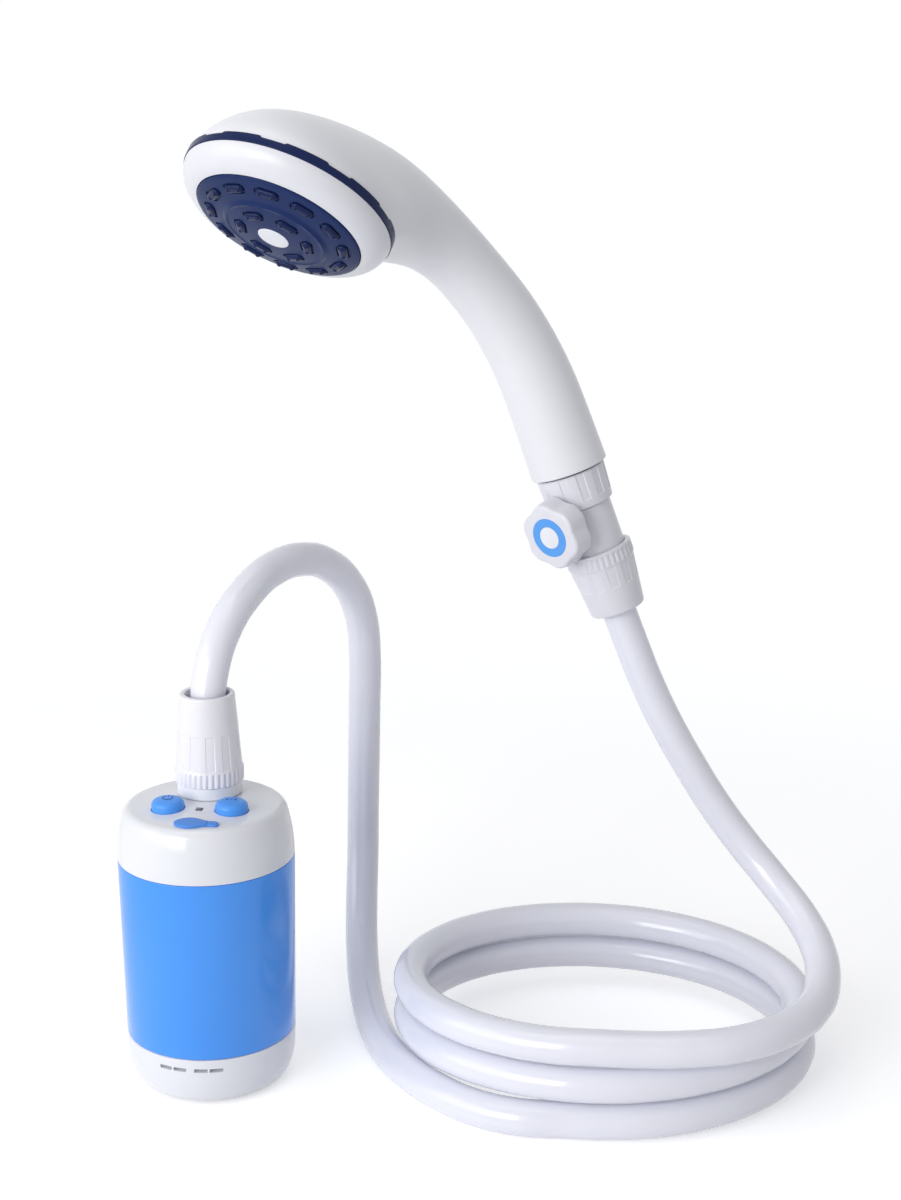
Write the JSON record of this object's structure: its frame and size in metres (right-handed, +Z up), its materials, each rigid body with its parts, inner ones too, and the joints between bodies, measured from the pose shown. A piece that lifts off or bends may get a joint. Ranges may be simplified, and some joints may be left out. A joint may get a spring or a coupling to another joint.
{
  "type": "camp shower pump",
  "caption": "Rechargeable camp shower: a round bucket pump with push buttons and a capped charging port, a coiled hose and a hand shower with a quarter-turn valve.",
  "frame": {"origin": "centre of the pump's base, on the surface that it stands on", "axes": "+Z up along the pump, -Y the pump's front with the buttons and the charging port, +X towards the coiled hose"},
  "size_m": [0.2833, 0.1624, 0.3754],
  "materials": {
    "blue_shell": "gloss moulded",
    "blue_button": "satin moulded",
    "blue_rubber": "smooth silicone",
    "white_shell": "gloss moulded",
    "white_nut": "satin moulded",
    "white_satin": "satin moulded",
    "outlet_plastic": "satin moulded",
    "ring_blue": "printed disc",
    "navy": "gloss moulded",
    "hose_pvc": "smooth extruded",
    "smoked_window": "smoked clear",
    "sponge": "open foam",
    "seal_rubber": "moulded",
    "motor_metal": "plated can",
    "steel": "bright",
    "nickel": "plated strip",
    "cell_wrap": "shrink wrapped",
    "board": "solder mask",
    "dark_plastic": "moulded",
    "inner_plastic": "moulded"
  },
  "bodies": {
    "pump": {"sleeve": "blue_shell", "top_cap": "white_shell", "cap_gasket": "seal_rubber", "bulkhead": "inner_plastic", "bulkhead_seal": "seal_rubber", "volute": "inner_plastic", "motor_can": "motor_metal", "motor_endcap": "dark_plastic", "shaft_seal": "seal_rubber", "battery_cells": "cell_wrap", "battery_cradles": "inner_plastic", "battery_tab": "nickel", "circuit_board": "board", "board_screws": "steel", "button_switches": "dark_plastic", "led_window": "smoked_window", "charge_socket": "steel", "cover_tab": "blue_rubber", "riser_tube": "inner_plastic", "outlet_spigot": "outlet_plastic", "outlet_locknut": "inner_plastic", "outlet_washer": "seal_rubber", "pump_hose_tail": "inner_plastic", "hose_pump_run": "hose_pvc", "hose_coil": "hose_pvc", "hose_handset_run": "hose_pvc", "handset_hose_tail": "inner_plastic"},
    "rotor": {"motor_shaft": "steel", "impeller": "inner_plastic"},
    "power_key": {"power_button": "blue_button", "power_plunger": "dark_plastic"},
    "mode_key": {"mode_button": "blue_button", "mode_plunger": "dark_plastic"},
    "flap": {"port_cover": "blue_rubber"},
    "base": {"base_strainer": "white_shell", "filter_pad": "sponge"},
    "pump_nut": {"pump_hose_nut": "white_nut"},
    "handset": {"handset_washer": "seal_rubber", "valve_body": "white_satin", "stem_bush": "inner_plastic", "union_clip": "steel", "union_washer": "seal_rubber", "handle_connector": "dark_plastic", "handset_shell": "white_satin", "trim_ring": "navy", "face_seal": "seal_rubber", "water_plate": "inner_plastic", "bezel": "white_shell", "spray_plate": "navy", "spray_nozzles": "navy", "plate_screw": "steel", "plate_cap": "white_satin"},
    "handset_nut": {"handset_hose_nut": "white_nut"},
    "union_nut": {"union_nut_ring": "white_nut"},
    "valve": {"valve_plug": "inner_plastic", "stem_seal": "seal_rubber", "valve_knob": "white_satin", "knob_ring": "ring_blue", "knob_disc": "white_satin"}
  },
  "joints": [
    {"name": "power_press", "type": "slide", "parent": "pump", "child": "power_key", "axis": [0, 0, -1], "range_m": [0, 0.0012], "stiffness_N_per_m": 1500},
    {"name": "mode_press", "type": "slide", "parent": "pump", "child": "mode_key", "axis": [0, 0, -1], "range_m": [0, 0.0012], "stiffness_N_per_m": 1500},
    {"name": "flap_open", "type": "hinge", "parent": "pump", "child": "flap", "pos_m": [0.00605, -0.02462, 0.11609], "axis": [0, 0.9967, 0.0817], "range_deg": [0, 110]},
    {"name": "rotor_spin", "type": "hinge", "parent": "pump", "child": "rotor", "pos_m": [0, -0.0105, 0.04], "axis": [0, 0, 1], "continuous": true},
    {"name": "base_twist", "type": "hinge", "parent": "pump", "child": "base", "pos_m": [0, 0, 0], "axis": [0, 0, 1], "range_deg": [0, 30]},
    {"name": "pump_nut_turn", "type": "hinge", "parent": "pump", "child": "pump_nut", "pos_m": [0, 0.01, 0.121], "axis": [0, 0, 1], "range_deg": [0, 360]},
    {"name": "handset_swivel", "type": "hinge", "parent": "pump", "child": "handset", "pos_m": [0.1583, 0.07, 0.1777], "axis": [-0.3395, -0.0166, 0.9405], "range_deg": [-180, 180]},
    {"name": "handset_nut_turn", "type": "hinge", "parent": "pump", "child": "handset_nut", "pos_m": [0.1583, 0.07, 0.1777], "axis": [-0.3395, -0.0166, 0.9405], "range_deg": [0, 360]},
    {"name": "union_nut_turn", "type": "hinge", "parent": "handset", "child": "union_nut", "pos_m": [0.14272, 0.06924, 0.22087], "axis": [-0.3395, -0.0166, 0.9405], "range_deg": [0, 360]},
    {"name": "valve_turn", "type": "hinge", "parent": "handset", "child": "valve", "pos_m": [0.14441, 0.06932, 0.21616], "axis": [-0.5683, -0.7931, -0.2192], "range_deg": [0, 90]}
  ]
}
